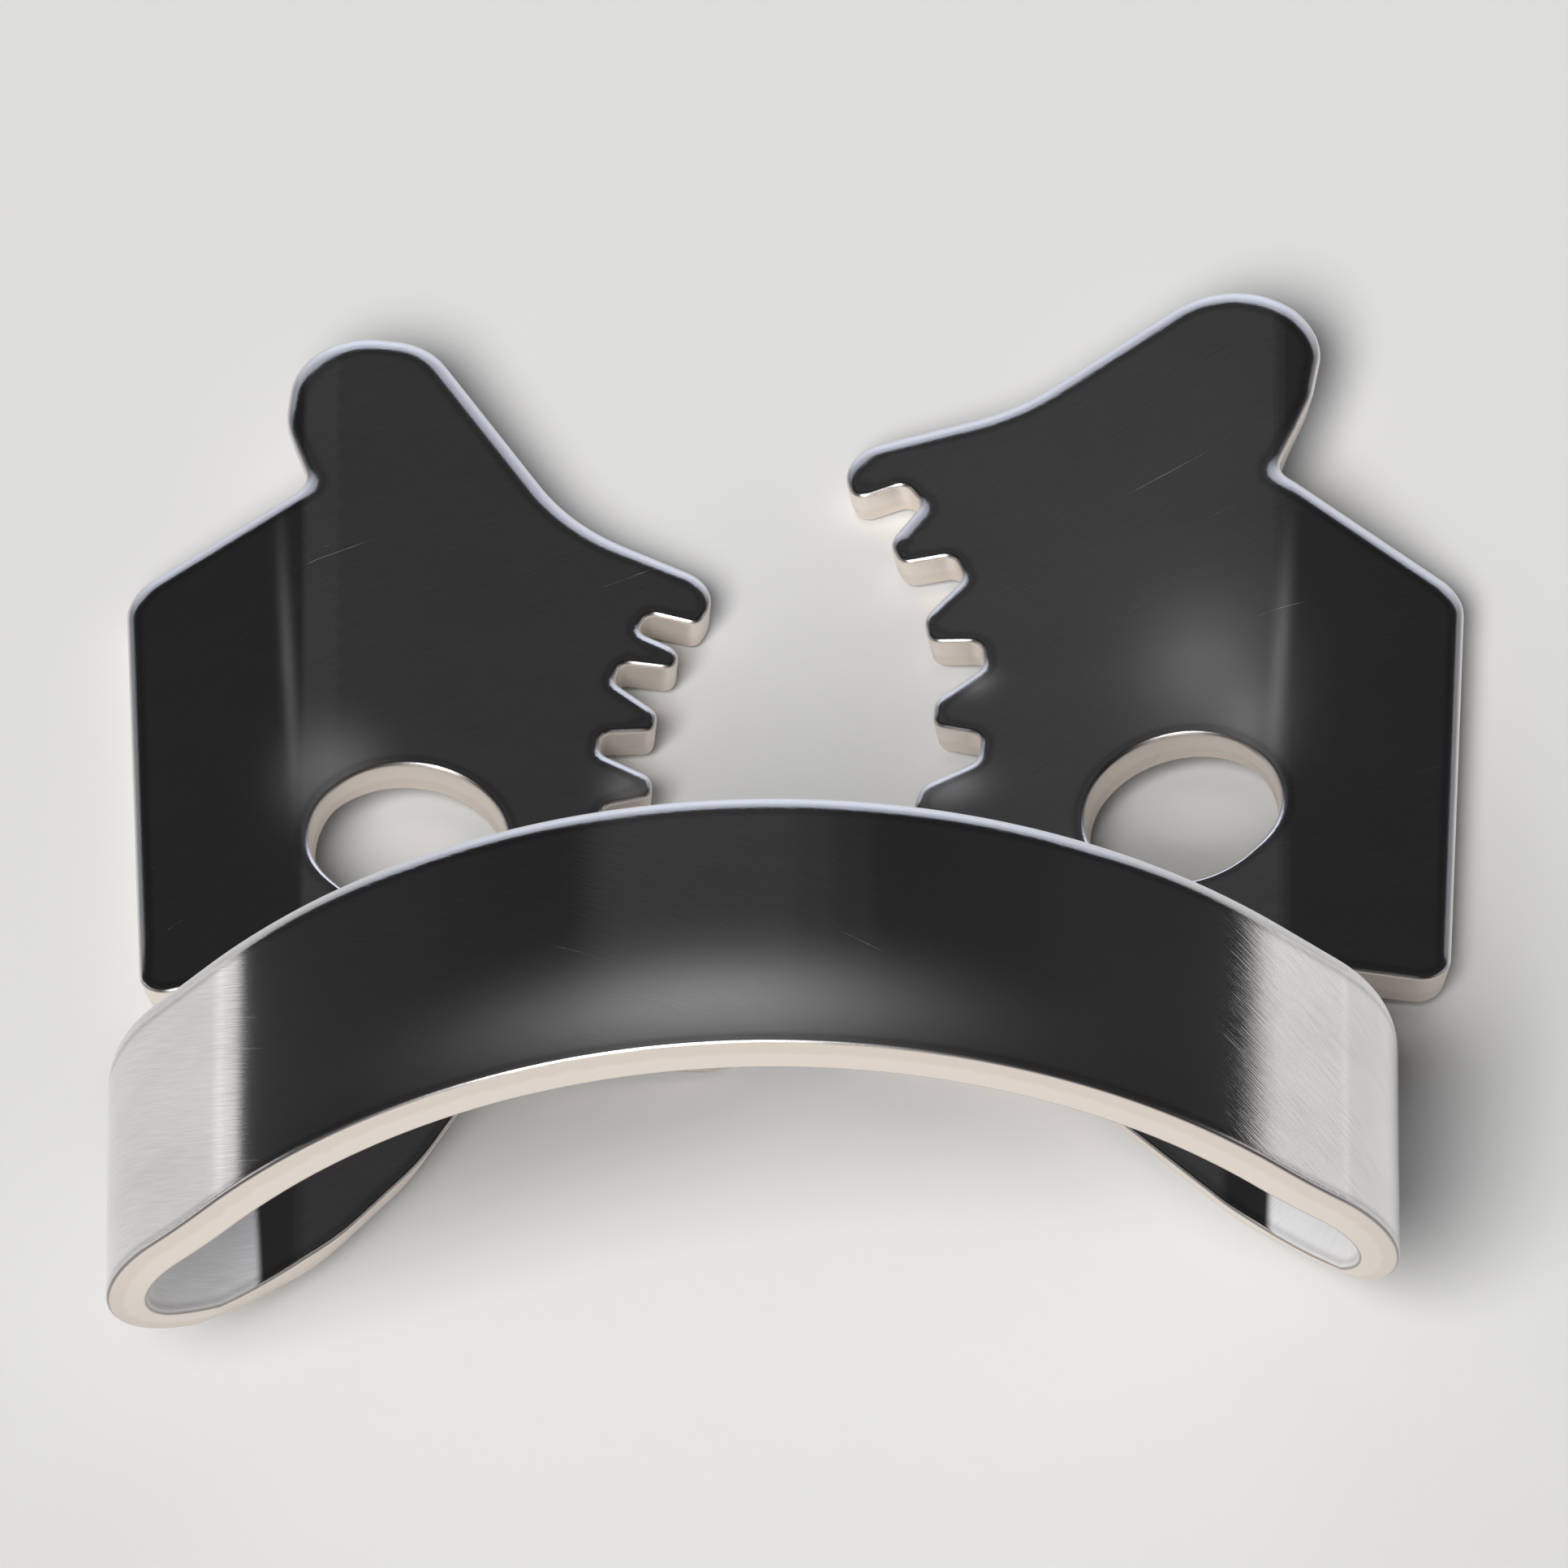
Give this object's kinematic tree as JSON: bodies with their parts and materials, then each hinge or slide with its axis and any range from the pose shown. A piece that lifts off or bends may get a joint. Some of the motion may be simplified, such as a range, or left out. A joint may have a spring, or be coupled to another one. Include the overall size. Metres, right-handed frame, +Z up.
{
  "type": "rubber dam clamp",
  "caption": "Winged dental clamp of one bent spring steel sheet: two toothed jaws with forceps holes, joined by a high arched bow that springs them onto a tooth.",
  "frame": {"origin": "middle of the clamp's footprint, on the surface that its jaws stand on", "axes": "+X across the clamp from the smaller left jaw to the right jaw, +Y towards the noses of the jaws, away from the bow, +Z up from the jaws to the bow"},
  "size_m": [0.0274, 0.0302, 0.0135],
  "materials": {
    "steel": "polished spring steel with satin cut edges"
  },
  "bodies": {
    "root": {"clamp_body": "steel"}
  },
  "joints": []
}
